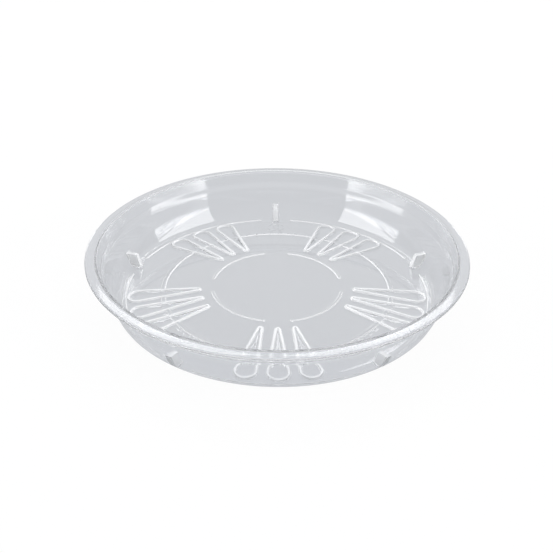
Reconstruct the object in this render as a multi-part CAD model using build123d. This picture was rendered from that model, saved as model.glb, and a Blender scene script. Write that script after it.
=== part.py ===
from build123d import *
import os
from math import atan2, cos, degrees, radians, sin, tan

# A round, clear plastic plant saucer. The real one is a single moulding, and each solid here is one feature of
# it. The saucer stands on z = 0 with its axis on Z, and its front is towards -Y. Lengths are in millimetres and
# angles are in degrees.

# Overall sizes
rim_diameter = 209.0
overall_height = 29.7
floor_thickness = 1.3
wall_thickness = 1.4

# Lip: a wide rim that bends over and droops towards its edge
lip_width = 6.4
lip_thickness = 1.3
lip_droop = 0.75
lip_edge_round = 0.5
crest_round = 1.0

# Collar under the lip, and the ledge at its foot
collar_height = 7.9
collar_draft = 15.0
ledge_width = 0.9

# Side wall, and the bend that takes it down to the band on which the saucer stands
wall_draft = 17.5
foot_inner_bend = 2.6
foot_outer_bend = 5.6
standing_band_width = 3.4

# Floor: a flat middle panel that stands higher than the band, with a slope between the two
centre_panel_diameter = 75.6
floor_rise = 3.05

# Ring ribs
ring_rib_height = 0.5
ring_rib_width = 2.2
inner_ring_width = 1.5
inner_ring_margin = 0.5
inner_ring_count = 4
inner_ring_gap_angle = 24.0
middle_ring_place_share = 0.56
outer_ring_margin = 0.1
outer_ring_gap_angle = 14.2

# Drain loops: closed teardrop ribs, in groups, with their narrow tips towards the middle
group_count = 5
loops_in_group = 3
front_angle = -90.0
loop_pitch_angle = 12.0
loop_rib_width = 1.4
loop_rib_height = 0.9
loop_tip_bend = 0.25
loop_end_bend = 4.6
loop_tip_gap = 5.2
loop_end_gap = 0.4

# Pot stops: fins at the foot of the wall, one between each two groups of loops
stop_foot_thickness = 3.8
stop_top_thickness = 2.8
stop_depth = 5.6
stop_height = 7.9
stop_corner_round = 0.8

# Levels of the section
panel_top = floor_rise + floor_thickness
ledge_level = overall_height - collar_height
ledge_underside = ledge_level - wall_thickness
lip_seat = overall_height - lip_thickness
stop_top = floor_thickness + stop_height

# Slopes of the section, as run for each unit of rise, and the level width of the sloped walls
wall_slope = tan(radians(wall_draft))
collar_slope = tan(radians(collar_draft))
wall_width = wall_thickness / cos(radians(wall_draft))
collar_width = wall_thickness / cos(radians(collar_draft))

# Radii of the section, from the rim inwards
rim_radius = rim_diameter / 2
crest_radius = rim_radius - lip_width
collar_foot_radius = crest_radius - collar_height * collar_slope
wall_top_radius = collar_foot_radius - ledge_width
corner_radius = wall_top_radius - (ledge_level - floor_thickness) * wall_slope
bend_share = tan(radians(90 - wall_draft) / 2)
band_outer_radius = corner_radius - foot_inner_bend * bend_share
band_inner_radius = band_outer_radius - standing_band_width
panel_radius = centre_panel_diameter / 2

# The bend's outside, which starts at the outer edge of the face that stands on the table
outer_corner_radius = corner_radius - floor_thickness * wall_slope + wall_width
standing_outer_radius = outer_corner_radius - foot_outer_bend * bend_share

# Places of the ribs
inner_ring_radius = panel_radius - inner_ring_margin - inner_ring_width / 2
outer_ring_radius = band_outer_radius - outer_ring_margin - ring_rib_width / 2
middle_ring_radius = inner_ring_radius + middle_ring_place_share * (outer_ring_radius - inner_ring_radius)
loop_tip_radius = inner_ring_radius + inner_ring_width / 2 + loop_tip_gap
loop_end_radius = outer_ring_radius - ring_rib_width / 2 - loop_end_gap
group_step = 360 / group_count
inner_ring_step = 360 / inner_ring_count


def inside_wall(height):
    """Radius of the side wall's inner face."""
    return corner_radius + (height - floor_thickness) * wall_slope


def inside_collar(height):
    """Radius of the collar's inner face."""
    return crest_radius - (overall_height - height) * collar_slope


def at(radius, height):
    """A point of the section, in the XZ plane."""
    return (radius, 0, height)


def turned(*edges):
    """The ring that a closed section makes round the axis."""
    return revolve(make_face(edges), axis=Axis.Z)


def bend_arc(start_radius, start_level, bend_radius):
    """One face of the foot bend, from level up to the slope of the wall."""
    start = at(start_radius, start_level)
    points = [start]
    for angle in [(90 + wall_draft) / 2, wall_draft]:
        run = bend_radius * cos(radians(angle))
        rise = bend_radius - bend_radius * sin(radians(angle))
        points.append(at(start_radius + run, start_level + rise))
    return ThreePointArc(*points)


def inner_bend():
    return bend_arc(band_outer_radius, floor_thickness, foot_inner_bend)


def outer_bend():
    return bend_arc(standing_outer_radius, 0, foot_outer_bend)


def make_centre_panel():
    panel = Cylinder(panel_radius, floor_thickness, align=(Align.CENTER, Align.CENTER, Align.MIN))
    return Pos(0, 0, floor_rise) * panel


def make_sloping_floor():
    return turned(
        Polyline(
            at(panel_radius, floor_rise),
            at(band_inner_radius, 0),
            at(band_inner_radius, floor_thickness),
            at(panel_radius, panel_top),
            close=True,
        )
    )


def make_foot_ring():
    outside = outer_bend()
    inside = inner_bend()
    return turned(
        Line(at(band_inner_radius, 0), outside @ 0),
        outside,
        Line(outside @ 1, inside @ 1),
        inside,
        Line(inside @ 0, at(band_inner_radius, floor_thickness)),
        Line(at(band_inner_radius, floor_thickness), at(band_inner_radius, 0)),
    )


def make_side_wall():
    return turned(
        Polyline(
            outer_bend() @ 1,
            at(inside_wall(ledge_underside) + wall_width, ledge_underside),
            at(inside_wall(ledge_underside), ledge_underside),
            inner_bend() @ 1,
            close=True,
        )
    )


def make_rim_collar():
    return turned(
        Polyline(
            at(inside_wall(ledge_underside), ledge_underside),
            at(inside_collar(ledge_underside) + collar_width, ledge_underside),
            at(inside_collar(lip_seat) + collar_width, lip_seat),
            at(inside_collar(lip_seat), lip_seat),
            at(collar_foot_radius, ledge_level),
            at(wall_top_radius, ledge_level),
            close=True,
        )
    )


def make_rim_lip():
    crest = at(crest_radius, overall_height)
    edge_top = at(rim_radius, overall_height - lip_droop)
    edge_bottom = at(rim_radius, overall_height - lip_droop - lip_thickness)
    seat_inner = at(inside_collar(lip_seat), lip_seat)
    seat_outer = at(inside_collar(lip_seat) + collar_width, lip_seat)
    section = make_face(
        [
            Line(seat_inner, crest),
            TangentArc(crest, edge_top, tangent=(1, 0, 0)),
            Line(edge_top, edge_bottom),
            TangentArc(seat_outer, edge_bottom, tangent=(1, 0, 0)),
            Line(seat_outer, seat_inner),
        ]
    )
    edge_corners = section.vertices().sort_by(Axis.X)[-2:]
    section = fillet(edge_corners, lip_edge_round)
    crest_corner = section.vertices().sort_by_distance(crest)[:1]
    section = fillet(crest_corner, crest_round)
    return revolve(section, axis=Axis.Z)


def rib_zone(height):
    """The space that ribs of one height fill, from the floor's top to the same height above it."""
    inner_radius = inner_ring_radius / 2
    return turned(
        Polyline(
            at(band_outer_radius, floor_thickness),
            at(band_outer_radius, floor_thickness + height),
            at(band_inner_radius, floor_thickness + height),
            at(panel_radius, panel_top + height),
            at(inner_radius, panel_top + height),
            at(inner_radius, panel_top),
            at(panel_radius, panel_top),
            at(band_inner_radius, floor_thickness),
            close=True,
        )
    )


def make_ribs(outline, zone):
    """Ribs of the outline given, trimmed to the floor and to their height."""
    return extrude(outline, amount=overall_height) & zone


def ring_outline(radius, width, middle_angle, span_angle):
    """A stretch of ring with round ends."""
    rounding_angle = degrees(width / 2 / radius)
    start_angle = middle_angle - span_angle / 2 + rounding_angle
    path = CenterArc((0, 0), radius, start_angle, span_angle - 2 * rounding_angle)
    return SlotArc(path, width)


def teardrop(tip_bend, end_bend, rib):
    """The outline of two round ends and the straight sides between them, grown by the rib given."""
    tip_place = loop_tip_radius + loop_rib_width + loop_tip_bend
    end_place = loop_end_radius - loop_rib_width - loop_end_bend
    ends = [Pos(tip_place, 0) * Circle(tip_bend + rib), Pos(end_place, 0) * Circle(end_bend + rib)]
    return make_hull([edge for end in ends for edge in end.edges()])


def loop_outline(angle):
    loop = teardrop(loop_tip_bend, loop_end_bend, loop_rib_width) - teardrop(loop_tip_bend, loop_end_bend, 0)
    return Rot(0, 0, angle) * loop


def make_pot_stop(angle):
    """A fin, thinner at its top, whose inner edge leans as the wall does, cut to the wall, bend and floor."""
    bend = inner_bend()
    inside = turned(
        bend,
        Polyline(
            bend @ 1,
            at(inside_wall(stop_top), stop_top),
            at(panel_radius, stop_top),
            at(panel_radius, panel_top),
            at(band_inner_radius, floor_thickness),
            bend @ 0,
        ),
    )
    fin = make_face(
        Polyline(
            at(corner_radius - stop_depth, floor_thickness),
            at(inside_wall(stop_top) - stop_depth, stop_top),
            at(rim_radius, stop_top),
            at(rim_radius, floor_thickness),
            close=True,
        )
    )
    top_corner = fin.vertices().sort_by_distance(at(inside_wall(stop_top) - stop_depth, stop_top))[:1]
    fin = fillet(top_corner, stop_corner_round)
    plate = extrude(fin, amount=stop_foot_thickness, dir=(0, 1, 0), both=True)
    tapered = make_face(
        Polyline(
            (0, -stop_foot_thickness / 2, floor_thickness),
            (0, stop_foot_thickness / 2, floor_thickness),
            (0, stop_top_thickness / 2, stop_top),
            (0, -stop_top_thickness / 2, stop_top),
            close=True,
        )
    )
    taper = extrude(tapered, amount=rim_radius, dir=(1, 0, 0))
    return Rot(0, 0, angle) * (plate & taper & inside)


def angle_from(middle_angle, solid):
    """How far round the axis a solid lies from an angle, from -180 to 180."""
    place = solid.center()
    return (degrees(atan2(place.Y, place.X)) - middle_angle + 180) % 360 - 180


nodes = {
    "centre_panel": make_centre_panel(),
    "sloping_floor": make_sloping_floor(),
    "foot_ring": make_foot_ring(),
    "side_wall": make_side_wall(),
    "rim_collar": make_rim_collar(),
    "rim_lip": make_rim_lip(),
}

ring_zone = rib_zone(ring_rib_height)
loop_zone = rib_zone(loop_rib_height)
group_angles = [front_angle + group_step * group for group in range(group_count)]
stop_angles = [angle + group_step / 2 for angle in group_angles]

for count in range(inner_ring_count):
    middle_angle = front_angle + inner_ring_step * (count + 1 / 2)
    span_angle = inner_ring_step - inner_ring_gap_angle
    outline = ring_outline(inner_ring_radius, inner_ring_width, middle_angle, span_angle)
    nodes[f"inner_ring_rib_{count + 1}"] = make_ribs(outline, ring_zone)

for count, middle_angle in enumerate(group_angles):
    span_angle = group_step - outer_ring_gap_angle
    outline = ring_outline(outer_ring_radius, ring_rib_width, middle_angle, span_angle)
    nodes[f"outer_ring_rib_{count + 1}"] = make_ribs(outline, ring_zone)

loops = []
for middle_angle in group_angles:
    for place in range(loops_in_group):
        turn_angle = loop_pitch_angle * (place - (loops_in_group - 1) / 2)
        loop = make_ribs(loop_outline(middle_angle + turn_angle), loop_zone)
        loops.append(loop)
        nodes[f"drain_loop_{len(loops)}"] = loop

# The middle ring runs right round, cut through by the loops
middle_ring_outline = Circle(middle_ring_radius + ring_rib_width / 2) - Circle(
    middle_ring_radius - ring_rib_width / 2
)
middle_ring = make_ribs(middle_ring_outline, ring_zone) - loops
group_reach_angle = loop_pitch_angle * loops_in_group / 2
for count in range(group_count):
    links = [
        solid
        for solid in middle_ring.solids()
        if abs(angle_from(group_angles[count], solid)) < group_reach_angle
    ]
    arcs = [
        solid
        for solid in middle_ring.solids()
        if abs(angle_from(stop_angles[count], solid)) < group_step / 2 - group_reach_angle
    ]
    nodes[f"middle_ring_links_{count + 1}"] = Compound(links)
    nodes[f"middle_ring_arc_{count + 1}"] = Compound(arcs)

for count, angle in enumerate(stop_angles):
    nodes[f"pot_stop_{count + 1}"] = make_pot_stop(angle)

os.makedirs("parts", exist_ok=True)
for name, shape in nodes.items():
    export_step(shape, f"parts/{name}.step")
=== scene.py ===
import math

import bpy
import numpy as np
from mathutils import Matrix, Vector
from mathutils.geometry import delaunay_2d_cdt
from mathutils.kdtree import KDTree


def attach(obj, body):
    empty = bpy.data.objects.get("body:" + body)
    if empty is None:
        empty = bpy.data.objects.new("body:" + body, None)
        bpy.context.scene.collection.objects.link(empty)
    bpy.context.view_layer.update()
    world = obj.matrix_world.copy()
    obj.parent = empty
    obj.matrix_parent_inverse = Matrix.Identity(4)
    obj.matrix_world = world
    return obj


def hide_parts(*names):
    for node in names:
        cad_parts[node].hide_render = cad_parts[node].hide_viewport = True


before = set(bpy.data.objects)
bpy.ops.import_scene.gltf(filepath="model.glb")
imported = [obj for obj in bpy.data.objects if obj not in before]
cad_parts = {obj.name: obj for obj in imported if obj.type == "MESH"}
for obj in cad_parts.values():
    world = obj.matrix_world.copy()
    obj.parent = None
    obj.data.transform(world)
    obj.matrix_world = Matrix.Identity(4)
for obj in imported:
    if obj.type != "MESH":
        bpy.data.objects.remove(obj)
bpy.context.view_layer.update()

# The saucer is one clear moulding. It is drawn as one closed surface, so that no face is left inside the
# plastic where two features meet. Lengths are in millimetres until the mesh is made.
MM = 0.001
ROUND_STEPS = 480
ARC_STEP = 7.0
FEWEST_ARC_STEPS = 3

# Section of the floor, close to the solids'
PANEL_RADIUS = 37.8
PANEL_TOP = 4.35
PANEL_UNDERSIDE = 3.05
PANEL_BEND = 25.0
BAND_INNER = 83.31
BAND_BEND = 15.0
FLOOR_TOP = 1.3
CORNER_RADIUS = 88.19
CORNER_BEND = 2.6
OUTER_CORNER = 89.14
OUTER_CORNER_BEND = 5.6

# The wall is a little steeper at the top than at the foot, as its reflections show. Leans are in degrees.
WALL_TOP = 95.08
WALL_OUTER_TOP = 96.11
WALL_WIDTH = 1.47
WALL_FOOT_LEVEL = 2.5
WALL_OUTER_FOOT = 4.5
WALL_SAMPLES = 194
WALL_LEAN = 14.5
WALL_BEND_LEAN = 5.0
WALL_BEND_TOP = 12.2
WALL_BEND_HEIGHT = 3.4
FLARE_LEAN = 7.0
FLARE_LEVEL = 3.0
FLARE_FADE = 3.2

# The ledge is a soft slope between the wall and the collar
LEDGE_LEVEL = 21.8
LEDGE_UNDERSIDE = 20.4
LEDGE_SLOPE = 1.2
LEDGE_SLACK = 0.18
LEDGE_BEND = 2.0
COLLAR_FOOT = 96.1
COLLAR_OUTER_FOOT = 97.14

# The lip droops towards its rounded edge
CREST_RADIUS = 98.1
CREST_LEVEL = 29.7
CREST_BEND = 0.4
RIM_RADIUS = 104.5
LIP_DROOP = 0.75
LIP_EDGE = 1.3
LIP_UPPER_BEND = 1.1
LIP_LOWER_BEND = 0.12
LIP_CURVE_SHARES = (0.3, 0.45, 0.6, 0.72, 0.82)
LIP_SEAT_RADIUS = 99.16
LIP_SEAT_LEVEL = 28.4
LIP_SEAT_BEND = 0.6

# Rows of the wall's surface, by their levels. The ribbed part of the upper surface ends above the fins.
RIBBED_LEVEL = 12.0
LOW_ROWS_START = 3.0
LOW_ROWS_STEP = 0.3
LOW_ROWS_GAP = 0.1
HIGH_ROWS_START = 13.0
HIGH_ROWS_END = 19.3
OUTER_ROWS_START = 18.0
ROWS_STEP = 1.0

# Ribs on the floor
INNER_RING_RADIUS = 36.55
MIDDLE_RING_RADIUS = 63.97
OUTER_RING_RADIUS = 85.51
INNER_RING_HALF = 0.75
RING_HALF = 1.1
RING_HEIGHT = 0.5
LOOP_HALF = 0.7
LOOP_HEIGHT = 0.9
LOOP_TIP_PLACE = 44.15
LOOP_END_PLACE = 78.01
LOOP_TIP_BEND = 0.95
LOOP_END_BEND = 5.3
RIB_SOFT = 0.3
INSIDE_LOOP_SHARE = 0.2
INNER_RING_ANGLES = [-45, 45, 135, 225]
INNER_RING_REACH = 33.0
GROUP_ANGLES = [-90, -18, 54, 126, 198]
OUTER_RING_REACH = 28.9
LOOP_PITCH = 12.0
LOOP_ANGLES = [group + LOOP_PITCH * place for group in GROUP_ANGLES for place in (-1, 0, 1)]

# Fins at the foot of the wall
STOP_TURN = 36
STOP_ANGLES = [group + STOP_TURN for group in GROUP_ANGLES]
STOP_FOOT_HALF = 1.9
STOP_TOP_HALF = 1.4
STOP_INNER_FOOT = 83.02
STOP_INNER_TOP = 85.51
STOP_TOP = 9.2
STOP_FILLET = 0.5
STOP_SOFT_SHARE = 0.07

# Round mark left by the mould, in front of the back fin
MARK_PLACE = 73.5
MARK_ANGLE = 90.0
MARK_RADIUS = 5.0
MARK_HALF = 0.2
MARK_HEIGHT = 0.06

# How closely the points of the upper surface lie. A point is left out within a gap of an earlier one.
RIB_EDGE_SHARES = (-1.0, -0.7, -0.4, 0.0, 0.4, 0.7, 1.0)
LEAST_TIP_BEND = 0.02
LOOP_TIP_POINTS = 9
LOOP_END_POINTS = 33
LOOP_SIDE_POINTS = 34
CAP_POINTS = 13
INNER_RING_POINTS = 50
OUTER_RING_POINTS = 88
MIDDLE_RING_POINTS = 480
MARK_POINTS = 60
MARK_OFFSETS = (-0.4, -0.2, 0.0, 0.2, 0.4)
STOP_SIDES = [0.5, 0.9, 1.15, 1.25, 1.32, 1.37, 1.41, 1.46, 1.53, 1.62, 1.72, 1.81, 1.88, 1.93]
STOP_SIDES += [2.0, 2.1, 2.2, 2.32, 2.45, 2.7]
STOP_FRONT = [82.2, 82.45, 82.55, 82.65, 82.75, 82.85, 82.95, 83.02, 83.1, 83.25, 83.5, 83.8, 84.1, 84.4]
STOP_FRONT += [84.7, 84.95, 85.15, 85.3, 85.4, 85.48, 85.54, 85.62, 85.72, 85.9, 86.2]
STOP_BACK_START = 86.5
STOP_BACK_END = 91.8
STOP_BACK_STEP = 0.3
FINE_GAP = 0.03
INNER_RING_GAP = 0.06
OUTER_RING_GAP = 0.08
MIDDLE_RING_GAP = 0.12
MARK_GAP = 0.06
WALL_GAP = 0.2
WALL_NET_START = 0.5
WALL_NET_STEP = 0.6
FLOOR_GAP = 0.9
FLOOR_NET_STEP = 2.5
FLOOR_NET_END = 86.0
FLOOR_NET_FEWEST = 12
FLOOR_POINTS_PER_MM = 2.4
BAND_MARGIN = 1.0
EDGE_SLACK = 0.001
SAME_PLACE = 1e-6
JOIN_DISTANCE = 1e-5
SLOPE_STEP = 2e-3
FACES_INSIDE_OUTLINE = 1

# Finishes: name, clearness, least and greatest roughness. The ledge, the collar and the lip are a little
# softer than the rest of the clear plastic. The second finish is painted highlight: a whiter, less clear
# plastic on the loops, fins and ring edges that stands in for the light their edges catch.
CLEAR, SOFT = 0, 2
FINISHES = (("clear_plastic", 1.0, 0.015, 0.05), ("milky_highlight_ribs", 0.3, 0.2, 0.3), ("soft_lip", 1.0, 0.07, 0.11))
SOFT_BELOW_LEDGE = 1.5
SOFT_ABOVE_LEDGE = 1.4
SOFT_BEFORE_CREST = 0.3
PLASTIC_COLOUR = (0.985, 0.99, 1.0, 1)
PLASTIC_IOR = 1.49
FLOW_SCALE = 55.0
FLOW_DETAIL = 3.0
DENT_STRENGTH = 0.05
DENT_DEPTH = 0.0002

# Studio floor and room, in metres and shares of white
STAGE_SIZE = 8.0
STAGE_LEVEL = -0.0002
STAGE_COLOUR = (0.8, 0.8, 0.81, 1)
STAGE_WHITE_SHARE = 0.95
STAGE_PALE_SHARE = 0.9
STAGE_PALE_COLOUR = (0.6, 0.612, 0.636, 1)
ROOM_COLOUR = (0.97, 0.985, 1.0, 1)
ROOM_DEPTH_SPAN = (-0.8, 0.2)
ROOM_DEPTH_LEVELS = (0.8, 1.0)
ROOM_HEIGHT_SPAN = (0.05, 0.45)
ROOM_HEIGHT_LEVELS = (0.4, 0.95)

# Softboxes: name, bearing, lowest and highest elevation, width and lean in degrees, brightness, and whether
# it is seen through the plastic
LAMP_REACH = 3.0
LAMPS = (
    ("left_softbox", -161.5, (11, 26), 45, 0, 5.7, False),
    ("left_strip", -161.5, (3, 11), 45, 0, 5.7, True),
    ("left_low_strip", -161.5, (-1.5, 3), 45, 0, 0.8, True),
    ("right_softbox", -18.5, (11, 26), 45, 0, 5.7, False),
    ("right_strip", -18.5, (3, 11), 45, 0, 5.7, True),
    ("right_low_strip", -18.5, (-1.5, 3), 45, 0, 0.8, True),
    ("back_left_strip", 118, (1, 18), 10, 0, 3.5, False),
    ("back_right_strip", 62, (1, 18), 10, 0, 3.5, False),
    ("back_left_softbox", 110, (34.5, 60), 12, 29, 4.5, False),
    ("back_right_softbox", 70, (34.5, 60), 12, -29, 4.5, False),
)

# The photo's viewpoint: its place in metres, turns in degrees, sensor and lens in millimetres
CAMERA_PLACE = (-0.0067, -0.4459, 0.2783)
CAMERA_BEARING = -0.777
CAMERA_DROP = 31.065
CAMERA_ROLL = 0.51
CAMERA_SENSOR = 36
CAMERA_LENS = 60.47
CAMERA_SHIFT = (0.00108, 0.0009)

# Light goes to and fro many times inside clear plastic before it leaves
LIGHT_BOUNCES = 128


def smooth_step(share):
    share = np.clip(share, 0, 1)
    return share * share * (3 - 2 * share)


wall_levels = np.linspace(LEDGE_LEVEL, WALL_FOOT_LEVEL, WALL_SAMPLES)
bend_shares = smooth_step((WALL_BEND_TOP - wall_levels) / WALL_BEND_HEIGHT)
flare_shares = np.exp((FLARE_LEVEL - wall_levels) / FLARE_FADE)
wall_leans = np.radians(WALL_LEAN + WALL_BEND_LEAN * bend_shares + FLARE_LEAN * flare_shares)
wall_steps = np.diff(wall_levels) * np.tan((wall_leans[1:] + wall_leans[:-1]) / 2)
wall_radii = WALL_TOP + np.concatenate([[0.0], np.cumsum(wall_steps)])


def wall_radius(level):
    return float(np.interp(level, wall_levels[::-1], wall_radii[::-1]))


RIBBED_RADIUS = wall_radius(RIBBED_LEVEL)


def rounded(corners):
    """A path through corners (radius, height, rounding), with an arc at each rounded one."""
    path = [corners[0][:2]]
    for before, here, after in zip(corners, corners[1:], corners[2:]):
        point = Vector(here[:2])
        back = (Vector(before[:2]) - point).normalized()
        on = (Vector(after[:2]) - point).normalized()
        bend = here[2]
        if bend == 0:
            path.append(tuple(point))
            continue
        half = back.angle(on) / 2
        centre = point + (back + on).normalized() * (bend / math.sin(half))
        start = point + back * (bend / math.tan(half)) - centre
        end = point + on * (bend / math.tan(half)) - centre
        turn = start.angle_signed(end)
        steps = max(FEWEST_ARC_STEPS, int(math.degrees(abs(turn)) / ARC_STEP))
        for step in range(steps + 1):
            spoke = start.copy()
            spoke.rotate(Matrix.Rotation(-turn * step / steps, 2))
            path.append(tuple(centre + spoke))
    path.append(corners[-1][:2])
    return path


def lip_curve(shares):
    """Points on the drooping lip, as shares of the way from the crest to the edge."""
    run = RIM_RADIUS - CREST_RADIUS
    return [(CREST_RADIUS + run * share, CREST_LEVEL - LIP_DROOP * share**2, 0) for share in shares]


def wall_rows(start, end, step, width=0.0):
    """Points on the wall's inner surface, or a width outside it."""
    return [(wall_radius(level) + width, level, 0) for level in np.arange(start, end, step)]


section = rounded(
    [
        (0, PANEL_TOP, 0),
        (PANEL_RADIUS, PANEL_TOP, PANEL_BEND),
        (BAND_INNER, FLOOR_TOP, BAND_BEND),
        (CORNER_RADIUS, FLOOR_TOP, CORNER_BEND),
        *wall_rows(LOW_ROWS_START, RIBBED_LEVEL - LOW_ROWS_GAP, LOW_ROWS_STEP),
        (RIBBED_RADIUS, RIBBED_LEVEL, 0),
        *wall_rows(HIGH_ROWS_START, HIGH_ROWS_END, ROWS_STEP),
        (WALL_TOP - LEDGE_SLACK, LEDGE_LEVEL - LEDGE_SLOPE, LEDGE_BEND),
        (COLLAR_FOOT + LEDGE_SLACK, LEDGE_LEVEL + LEDGE_SLOPE, LEDGE_BEND),
        (CREST_RADIUS, CREST_LEVEL, CREST_BEND),
        *lip_curve(LIP_CURVE_SHARES),
        (RIM_RADIUS, CREST_LEVEL - LIP_DROOP, LIP_UPPER_BEND),
        (RIM_RADIUS, CREST_LEVEL - LIP_DROOP - LIP_EDGE, LIP_LOWER_BEND),
        (LIP_SEAT_RADIUS, LIP_SEAT_LEVEL, LIP_SEAT_BEND),
        (COLLAR_OUTER_FOOT + LEDGE_SLACK, LEDGE_UNDERSIDE + LEDGE_SLOPE, LEDGE_BEND),
        (WALL_OUTER_TOP - LEDGE_SLACK, LEDGE_UNDERSIDE - LEDGE_SLOPE, LEDGE_BEND),
        *wall_rows(OUTER_ROWS_START, WALL_OUTER_FOOT, -ROWS_STEP, WALL_WIDTH),
        (OUTER_CORNER, 0, OUTER_CORNER_BEND),
        (BAND_INNER, 0, BAND_BEND),
        (PANEL_RADIUS, PANEL_UNDERSIDE, PANEL_BEND),
        (0, PANEL_UNDERSIDE, 0),
    ]
)
split = next(place for place, point in enumerate(section) if point[0] >= RIBBED_RADIUS - SAME_PLACE)
inner_path = np.array(section[: split + 1])
outer_path = np.array(section[split:])
floor_path = np.array(section[: split + 2])


def rib(distance, half, height, soft=RIB_SOFT):
    """Height of a rib with soft edges, by the distance from its middle line."""
    return height * smooth_step((half + soft - distance) / (2 * soft))


def turned_back(x, y, angle):
    """Places seen from an angle round the axis: along that radius, and across it."""
    c, s = math.cos(math.radians(angle)), math.sin(math.radians(angle))
    return x * c + y * s, y * c - x * s


def arc_distance(x, y, radius, angle, reach):
    """Distance from a stretch of ring."""
    along, across = turned_back(x, y, angle)
    place = np.clip(np.arctan2(across, along), -math.radians(reach), math.radians(reach))
    return np.hypot(along - radius * np.cos(place), across - radius * np.sin(place))


def loop_distance(x, y, angle):
    """Distance from the middle line of a teardrop loop, less than 0 inside it."""
    along, across = turned_back(x, y, angle)
    along = along - LOOP_TIP_PLACE
    across = np.abs(across)
    length = LOOP_END_PLACE - LOOP_TIP_PLACE
    lean = (LOOP_TIP_BEND - LOOP_END_BEND) / length
    level = math.sqrt(1 - lean * lean)
    place = -lean * across + level * along
    side = level * across + lean * along - LOOP_TIP_BEND
    tip = np.hypot(along, across) - LOOP_TIP_BEND
    end = np.hypot(along - length, across) - LOOP_END_BEND
    return np.where(place < 0, tip, np.where(place > level * length, end, side))


def stop_shares(x, y, angle):
    """How far down a fin's inner end and its sides a place is: 0 at the top, 1 at the foot."""
    along, across = turned_back(x, y, angle)
    end = (STOP_INNER_TOP - along) / (STOP_INNER_TOP - STOP_INNER_FOOT)
    side = (np.abs(across) - STOP_TOP_HALF) / (STOP_FOOT_HALF - STOP_TOP_HALF)
    return end, side


def stop_height(x, y, angle, floor):
    """Height of a fin and of the small fillet round its foot."""
    along, across = turned_back(x, y, angle)
    across = np.abs(across)
    end, side = stop_shares(x, y, angle)
    drop = np.minimum(np.maximum(end, side), 0) + np.hypot(np.maximum(end, 0), np.maximum(side, 0))
    soft_drop = (drop + np.sqrt(drop * drop + STOP_SOFT_SHARE * STOP_SOFT_SHARE)) / 2
    top = STOP_TOP - (STOP_TOP - FLOOR_TOP) * soft_drop
    away = np.hypot(np.maximum(STOP_INNER_FOOT - along, 0), np.maximum(across - STOP_FOOT_HALF, 0))
    near = np.clip(STOP_FILLET - away, 0, STOP_FILLET)
    fillet = STOP_FILLET - np.sqrt(STOP_FILLET**2 - near**2)
    return np.where(along > 0, np.maximum(top, floor + fillet), floor)


def nearest_loop(x, y):
    return np.min([loop_distance(x, y, angle) for angle in LOOP_ANGLES], 0)


def plain_floor(radius):
    return np.interp(radius, floor_path[:, 0], floor_path[:, 1])


def upper_surface(x, y):
    """Height of the upper surface, with its ribs and fins."""
    radius = np.hypot(x, y)
    floor = plain_floor(radius)
    loops = nearest_loop(x, y)
    ring = rib(np.abs(radius - MIDDLE_RING_RADIUS), RING_HALF, RING_HEIGHT)
    bump = np.where(loops < 0, ring * INSIDE_LOOP_SHARE, ring)
    for angle in INNER_RING_ANGLES:
        distance = arc_distance(x, y, INNER_RING_RADIUS, angle, INNER_RING_REACH)
        bump = np.maximum(bump, rib(distance, INNER_RING_HALF, RING_HEIGHT))
    for angle in GROUP_ANGLES:
        distance = arc_distance(x, y, OUTER_RING_RADIUS, angle, OUTER_RING_REACH)
        bump = np.maximum(bump, rib(distance, RING_HALF, RING_HEIGHT))
    bump = np.maximum(bump, rib(np.abs(loops), LOOP_HALF, LOOP_HEIGHT))
    along, across = turned_back(x, y, MARK_ANGLE)
    mark = np.abs(np.hypot(along - MARK_PLACE, across) - MARK_RADIUS)
    bump = np.maximum(bump, rib(mark, MARK_HALF, MARK_HEIGHT, MARK_HALF))
    height = floor + bump
    for angle in STOP_ANGLES:
        height = np.maximum(height, stop_height(x, y, angle, floor))
    return height


def milky_highlight_places(x, y):
    """Where the upper surface is a loop, a fin or the edge of a ring: their whiter plastic is painted
    highlight.
    """
    radius = np.hypot(x, y)
    floor = plain_floor(radius)
    loops = nearest_loop(x, y)
    middle = np.abs(radius - MIDDLE_RING_RADIUS)
    white = np.abs(loops) < LOOP_HALF + RIB_SOFT
    white |= (np.abs(middle - RING_HALF) < RIB_SOFT) & (loops > 0)
    for angle in INNER_RING_ANGLES:
        distance = arc_distance(x, y, INNER_RING_RADIUS, angle, INNER_RING_REACH)
        white |= np.abs(distance - INNER_RING_HALF) < RIB_SOFT
    for angle in GROUP_ANGLES:
        distance = arc_distance(x, y, OUTER_RING_RADIUS, angle, OUTER_RING_REACH)
        white |= np.abs(distance - RING_HALF) < RIB_SOFT
    for angle in STOP_ANGLES:
        end, side = stop_shares(x, y, angle)
        along, _ = turned_back(x, y, angle)
        white |= (np.maximum(end, side) < 1) & (along > 0) & (floor < STOP_TOP)
    return white


def placed(along, across, angle):
    """Points given along and across a radius, turned to their angle."""
    c, s = math.cos(math.radians(angle)), math.sin(math.radians(angle))
    along, across = np.asarray(along, float), np.asarray(across, float)
    return np.stack([along * c - across * s, along * s + across * c], 1)


def outer_offsets(half):
    """Distances from a rib's middle line at which its edge needs points."""
    return [half + RIB_SOFT * share for share in RIB_EDGE_SHARES]


def contour_offsets(half):
    """The same distances on both sides of the middle line, and the line itself."""
    edge = outer_offsets(half)
    return [-value for value in reversed(edge)] + [0.0] + edge


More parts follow.
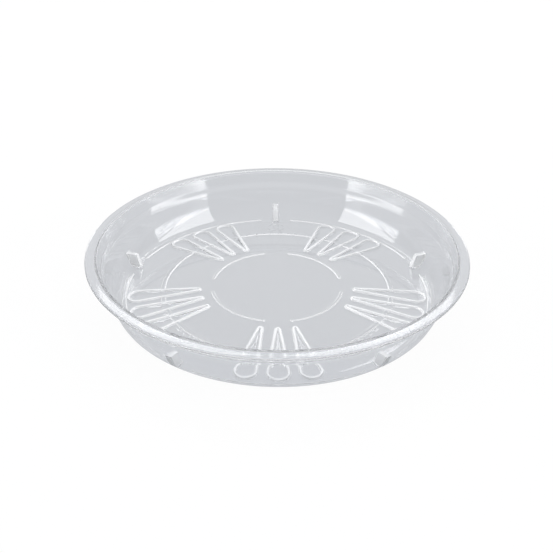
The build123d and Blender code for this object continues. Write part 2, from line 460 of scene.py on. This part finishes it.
def loop_points(angle):
    """Rows of points along a loop's rib, one row for each distance from its middle line."""
    length = LOOP_END_PLACE - LOOP_TIP_PLACE
    lean = math.asin((LOOP_END_BEND - LOOP_TIP_BEND) / length)
    tip_turn = np.linspace(math.pi / 2 + lean, 3 * math.pi / 2 - lean, LOOP_TIP_POINTS)
    end_turn = np.linspace(-math.pi / 2 - lean, math.pi / 2 + lean, LOOP_END_POINTS)
    share = np.linspace(0, 1, LOOP_SIDE_POINTS)[1:-1]
    rows = []
    for offset in contour_offsets(LOOP_HALF):
        tip, end = max(LOOP_TIP_BEND + offset, LEAST_TIP_BEND), LOOP_END_BEND + offset
        tip_along, end_along = LOOP_TIP_PLACE + tip * np.cos(tip_turn), LOOP_END_PLACE + end * np.cos(end_turn)
        along = np.concatenate([tip_along, end_along])
        across = np.concatenate([tip * np.sin(tip_turn), end * np.sin(end_turn)])
        for sign in (-1, 1):
            turn = sign * (math.pi / 2 + lean)
            start = np.array([LOOP_TIP_PLACE + tip * math.cos(turn), tip * math.sin(turn)])
            stop = np.array([LOOP_END_PLACE + end * math.cos(turn), end * math.sin(turn)])
            along = np.concatenate([along, start[0] + (stop[0] - start[0]) * share])
            across = np.concatenate([across, start[1] + (stop[1] - start[1]) * share])
        rows.append(placed(along, across, angle))
    return np.concatenate(rows)


def ring_points(radius, half, angle, reach, count):
    """Rows of points along a stretch of ring, with its round ends."""
    rows = []
    turns = np.radians(np.linspace(-reach, reach, count))
    cap = np.linspace(0, math.pi, CAP_POINTS)[1:-1]
    for offset in contour_offsets(half):
        along, across = (radius + offset) * np.cos(turns), (radius + offset) * np.sin(turns)
        rows.append(placed(along, across, angle))
    for offset in outer_offsets(half):
        for sign in (-1, 1):
            along, across = radius + offset * np.cos(cap), sign * offset * np.sin(cap)
            rows.append(placed(along, across, angle + sign * reach))
    return np.concatenate(rows)


def stop_points(angle):
    """A close net of points over a fin, finest at its edges."""
    across = np.array([-value for value in reversed(STOP_SIDES)] + [0.0] + STOP_SIDES)
    along = np.array(STOP_FRONT + list(np.arange(STOP_BACK_START, STOP_BACK_END, STOP_BACK_STEP)))
    rows, columns = np.meshgrid(along, across)
    return placed(rows.ravel(), columns.ravel(), angle)


def circle_points(radius, count):
    turns = np.linspace(0, 2 * math.pi, count, endpoint=False)
    return np.stack([radius * np.cos(turns), radius * np.sin(turns)], 1)


def all_points():
    """The points of the upper surface: the rim of it first, then the ribs, then the plain floor."""
    kept = circle_points(RIBBED_RADIUS, ROUND_STEPS)
    groups = [(stop_points(angle), FINE_GAP) for angle in STOP_ANGLES]
    groups += [(loop_points(angle), FINE_GAP) for angle in LOOP_ANGLES]
    for angle in INNER_RING_ANGLES:
        points = ring_points(INNER_RING_RADIUS, INNER_RING_HALF, angle, INNER_RING_REACH, INNER_RING_POINTS)
        groups.append((points, INNER_RING_GAP))
    for angle in GROUP_ANGLES:
        points = ring_points(OUTER_RING_RADIUS, RING_HALF, angle, OUTER_RING_REACH, OUTER_RING_POINTS)
        groups.append((points, OUTER_RING_GAP))
    for offset in contour_offsets(RING_HALF):
        groups.append((circle_points(MIDDLE_RING_RADIUS + offset, MIDDLE_RING_POINTS), MIDDLE_RING_GAP))
    for offset in MARK_OFFSETS:
        mark = circle_points(MARK_RADIUS + offset, MARK_POINTS)
        groups.append((placed(MARK_PLACE + mark[:, 0], mark[:, 1], MARK_ANGLE), MARK_GAP))
    bends = {round(value, 4) for value in inner_path[1:-1, 0] if value > BAND_INNER + BAND_MARGIN}
    for radius in sorted(bends):
        groups.append((circle_points(radius, ROUND_STEPS), WALL_GAP))
    for radius in np.arange(RIBBED_RADIUS - WALL_NET_START, CORNER_RADIUS, -WALL_NET_STEP):
        groups.append((circle_points(radius, ROUND_STEPS), WALL_GAP))
    for radius in np.arange(FLOOR_NET_STEP, FLOOR_NET_END, FLOOR_NET_STEP):
        count = max(FLOOR_NET_FEWEST, int(radius * FLOOR_POINTS_PER_MM))
        groups.append((circle_points(radius, count), FLOOR_GAP))
    groups.append((np.zeros((1, 2)), FLOOR_GAP))
    for points, least in groups:
        tree = KDTree(len(kept))
        for place, point in enumerate(kept):
            tree.insert((point[0], point[1], 0), place)
        tree.balance()
        fresh = [point for point in points if tree.find((point[0], point[1], 0))[2] > least]
        if fresh:
            kept = np.concatenate([kept, np.array(fresh)])
    return kept[np.hypot(kept[:, 0], kept[:, 1]) < RIBBED_RADIUS + EDGE_SLACK]


def turned_finish(radius, height):
    """The finish of a row of the turned part: soft at the ledge and from the collar to under the lip."""
    at_ledge = LEDGE_LEVEL - SOFT_BELOW_LEDGE < height < LEDGE_LEVEL + SOFT_ABOVE_LEDGE
    return SOFT if at_ledge or radius > CREST_RADIUS - SOFT_BEFORE_CREST else CLEAR


def make_saucer():
    points = [Vector(point) for point in all_points()]
    rim = [(step, (step + 1) % ROUND_STEPS) for step in range(ROUND_STEPS)]
    net = delaunay_2d_cdt(points, rim, [], FACES_INSIDE_OUTLINE, JOIN_DISTANCE)
    flat, _, faces, sources, _, _ = net
    flat = np.array([tuple(point) for point in flat])
    where = {source: place for place, found in enumerate(sources) for source in found}
    x, y = flat[:, 0], flat[:, 1]
    top = np.stack([x, y, upper_surface(x, y)], 1)
    step = SLOPE_STEP
    slope_x = (upper_surface(x + step, y) - upper_surface(x - step, y)) / (2 * step)
    slope_y = (upper_surface(x, y + step) - upper_surface(x, y - step)) / (2 * step)
    top_normals = np.stack([-slope_x, -slope_y, np.ones_like(x)], 1)
    made = []
    for a, b, c in faces:
        area = (x[b] - x[a]) * (y[c] - y[a]) - (x[c] - x[a]) * (y[b] - y[a])
        made.append((a, b, c) if area > 0 else (a, c, b))
    middle = flat[np.array(made)].mean(1)
    # The loops, fins and ring edges take the whiter finish, which is painted highlight
    finish = [int(found) for found in milky_highlight_places(middle[:, 0], middle[:, 1])]

    # The rest of the saucer is plain turned work, from the wall over the lip and round underneath
    verts, normals = [top], [top_normals]
    turns = np.linspace(0, 2 * math.pi, ROUND_STEPS, endpoint=False)
    across, deep, level = np.cos(turns), np.sin(turns), np.ones_like(turns)
    ring = [where[place] for place in range(ROUND_STEPS)]
    total = len(top)
    heading = np.diff(outer_path, axis=0)
    for place in range(1, len(outer_path) - 1):
        radius, height = outer_path[place]
        along = heading[place - 1] + heading[place]
        outward, upward = -along[1], along[0]
        verts.append(np.stack([radius * across, radius * deep, height * level], 1))
        normals.append(np.stack([outward * across, outward * deep, upward * level], 1))
        fresh = list(range(total, total + ROUND_STEPS))
        for step in range(ROUND_STEPS):
            after = (step + 1) % ROUND_STEPS
            made.append((ring[step], fresh[step], fresh[after], ring[after]))
            finish.append(turned_finish(radius, height))
        ring = fresh
        total += ROUND_STEPS
    verts.append(np.array([[0, 0, PANEL_UNDERSIDE]]))
    normals.append(np.array([[0, 0, -1.0]]))
    for step in range(ROUND_STEPS):
        made.append((ring[step], total, ring[(step + 1) % ROUND_STEPS]))
        finish.append(CLEAR)

    verts = np.concatenate(verts) * MM
    normals = np.concatenate(normals)
    normals /= np.linalg.norm(normals, axis=1)[:, None]
    mesh = bpy.data.meshes.new("saucer_body")
    mesh.from_pydata(verts.tolist(), [], made)
    mesh.polygons.foreach_set("use_smooth", [True] * len(mesh.polygons))
    mesh.polygons.foreach_set("material_index", finish)
    mesh.normals_split_custom_set_from_vertices(normals.tolist())
    mesh.update()
    saucer = bpy.data.objects.new("saucer_body", mesh)
    bpy.context.scene.collection.objects.link(saucer)
    return saucer


def clear_plastic(name, clearness, smoothest, roughest):
    """Clear plastic, or a whiter, less clear one used as painted highlight, with faint unevenness from the
    mould.
    """
    material = bpy.data.materials.new(name)
    material.use_nodes = True
    nodes, links = material.node_tree.nodes, material.node_tree.links
    shader = nodes["Principled BSDF"]
    shader.inputs["Base Color"].default_value = PLASTIC_COLOUR
    shader.inputs["Transmission Weight"].default_value = clearness
    shader.inputs["IOR"].default_value = PLASTIC_IOR
    place = nodes.new("ShaderNodeTexCoord")
    flow = nodes.new("ShaderNodeTexNoise")
    flow.inputs["Scale"].default_value = FLOW_SCALE
    flow.inputs["Detail"].default_value = FLOW_DETAIL
    links.new(place.outputs["Object"], flow.inputs["Vector"])
    gloss = nodes.new("ShaderNodeMapRange")
    gloss.inputs["To Min"].default_value = smoothest
    gloss.inputs["To Max"].default_value = roughest
    links.new(flow.outputs["Fac"], gloss.inputs["Value"])
    links.new(gloss.outputs["Result"], shader.inputs["Roughness"])
    dent = nodes.new("ShaderNodeBump")
    dent.inputs["Strength"].default_value = DENT_STRENGTH
    dent.inputs["Distance"].default_value = DENT_DEPTH
    links.new(flow.outputs["Fac"], dent.inputs["Height"])
    links.new(dent.outputs["Normal"], shader.inputs["Normal"])
    return material


saucer = make_saucer()
for finish in FINISHES:
    saucer.data.materials.append(clear_plastic(*finish))
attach(saucer, "root")
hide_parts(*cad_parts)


def share_of(nodes, links, value, share):
    """A part of a value, for mixing."""
    part = nodes.new("ShaderNodeMath")
    part.operation = "MULTIPLY"
    part.inputs[1].default_value = share
    links.new(value, part.inputs[0])
    return part.outputs[0]


def mixed(nodes, links, share, first, second):
    mix = nodes.new("ShaderNodeMixShader")
    links.new(share, mix.inputs[0])
    links.new(first.outputs[0], mix.inputs[1])
    links.new(second.outputs[0], mix.inputs[2])
    return mix


def pale_stage(name):
    """A pale surface: white with a soft shadow for the camera, pale grey in reflections and through plastic."""
    material = bpy.data.materials.new(name)
    material.use_nodes = True
    nodes, links = material.node_tree.nodes, material.node_tree.links
    nodes.clear()
    output = nodes.new("ShaderNodeOutputMaterial")
    rays = nodes.new("ShaderNodeLightPath")
    lit = nodes.new("ShaderNodeBsdfDiffuse")
    lit.inputs["Color"].default_value = STAGE_COLOUR
    white = nodes.new("ShaderNodeEmission")
    pale = nodes.new("ShaderNodeEmission")
    pale.inputs["Color"].default_value = STAGE_PALE_COLOUR
    direct_share = share_of(nodes, links, rays.outputs["Is Camera Ray"], STAGE_WHITE_SHARE)
    direct = mixed(nodes, links, direct_share, lit, white)
    plastic = nodes.new("ShaderNodeMath")
    plastic.operation = "MAXIMUM"
    links.new(rays.outputs["Is Glossy Ray"], plastic.inputs[0])
    links.new(rays.outputs["Is Transmission Ray"], plastic.inputs[1])
    plastic_share = share_of(nodes, links, plastic.outputs[0], STAGE_PALE_SHARE)
    final = mixed(nodes, links, plastic_share, direct, pale)
    links.new(final.outputs[0], output.inputs[0])
    return material


bpy.ops.mesh.primitive_plane_add(size=STAGE_SIZE, location=(0, 0, STAGE_LEVEL))
floor = bpy.context.object
floor.name = "studio_floor"
floor.data.materials.append(pale_stage("studio_floor"))

# A pale room: white for the camera, a little darker in the plastic
scene = bpy.context.scene
world = bpy.data.worlds.new("studio")
scene.world = world
world.use_nodes = True
nodes, links = world.node_tree.nodes, world.node_tree.links
background = nodes["Background"]
background.inputs["Color"].default_value = ROOM_COLOUR
rays = nodes.new("ShaderNodeLightPath")
place = nodes.new("ShaderNodeTexCoord")
split_place = nodes.new("ShaderNodeSeparateXYZ")
links.new(place.outputs["Generated"], split_place.inputs[0])


def shaded(direction, span, levels):
    """The room's light along one direction, as a smooth change between two levels."""
    change = nodes.new("ShaderNodeMapRange")
    change.interpolation_type = "SMOOTHSTEP"
    change.inputs["From Min"].default_value = span[0]
    change.inputs["From Max"].default_value = span[1]
    change.inputs["To Min"].default_value = levels[0]
    change.inputs["To Max"].default_value = levels[1]
    links.new(split_place.outputs[direction], change.inputs["Value"])
    return change.outputs["Result"]


room = nodes.new("ShaderNodeMath")
room.operation = "MULTIPLY"
links.new(shaded("Y", ROOM_DEPTH_SPAN, ROOM_DEPTH_LEVELS), room.inputs[0])
links.new(shaded("Z", ROOM_HEIGHT_SPAN, ROOM_HEIGHT_LEVELS), room.inputs[1])
level = nodes.new("ShaderNodeMix")
level.data_type = "FLOAT"
links.new(rays.outputs["Is Camera Ray"], level.inputs[0])
links.new(room.outputs[0], level.inputs[2])
level.inputs[3].default_value = 1.0
links.new(level.outputs[0], background.inputs["Strength"])


def softbox(name, bearing, heights, width, lean, brightness, seen_through):
    """A softbox that faces the saucer, placed as it is seen from there."""
    middle, turn = math.radians(sum(heights) / 2), math.radians(bearing)
    tall = 2 * LAMP_REACH * math.tan(math.radians(heights[1] - heights[0]) / 2)
    wide = 2 * LAMP_REACH * math.tan(math.radians(width) / 2)
    data = bpy.data.lights.new(name, "AREA")
    data.shape = "RECTANGLE"
    data.size = wide
    data.size_y = tall
    data.energy = brightness * math.pi * wide * tall
    lamp = bpy.data.objects.new(name, data)
    bpy.context.scene.collection.objects.link(lamp)
    lamp.visible_camera = False
    lamp.visible_transmission = seen_through
    level_reach = math.cos(middle)
    heading = Vector((level_reach * math.cos(turn), level_reach * math.sin(turn), math.sin(middle)))
    place = heading * LAMP_REACH
    facing = (-place).to_track_quat("-Z", "Y").to_matrix().to_4x4()
    lamp.matrix_world = Matrix.Translation(place) @ facing @ Matrix.Rotation(math.radians(lean), 4, "Z")


for lamp in LAMPS:
    softbox(*lamp)

camera_data = bpy.data.cameras.new("camera")
camera = bpy.data.objects.new("camera", camera_data)
scene.collection.objects.link(camera)
camera_data.sensor_width = CAMERA_SENSOR
camera_data.lens = CAMERA_LENS
camera_data.shift_x, camera_data.shift_y = CAMERA_SHIFT
turn = (
    Matrix.Rotation(math.radians(CAMERA_BEARING), 4, "Z")
    @ Matrix.Rotation(math.radians(90 - CAMERA_DROP), 4, "X")
    @ Matrix.Rotation(math.radians(CAMERA_ROLL), 4, "Z")
)
camera.matrix_world = Matrix.Translation(CAMERA_PLACE) @ turn
scene.camera = camera

scene.view_settings.view_transform = "Standard"
scene.cycles.max_bounces = LIGHT_BOUNCES
scene.cycles.glossy_bounces = LIGHT_BOUNCES
scene.cycles.transmission_bounces = LIGHT_BOUNCES
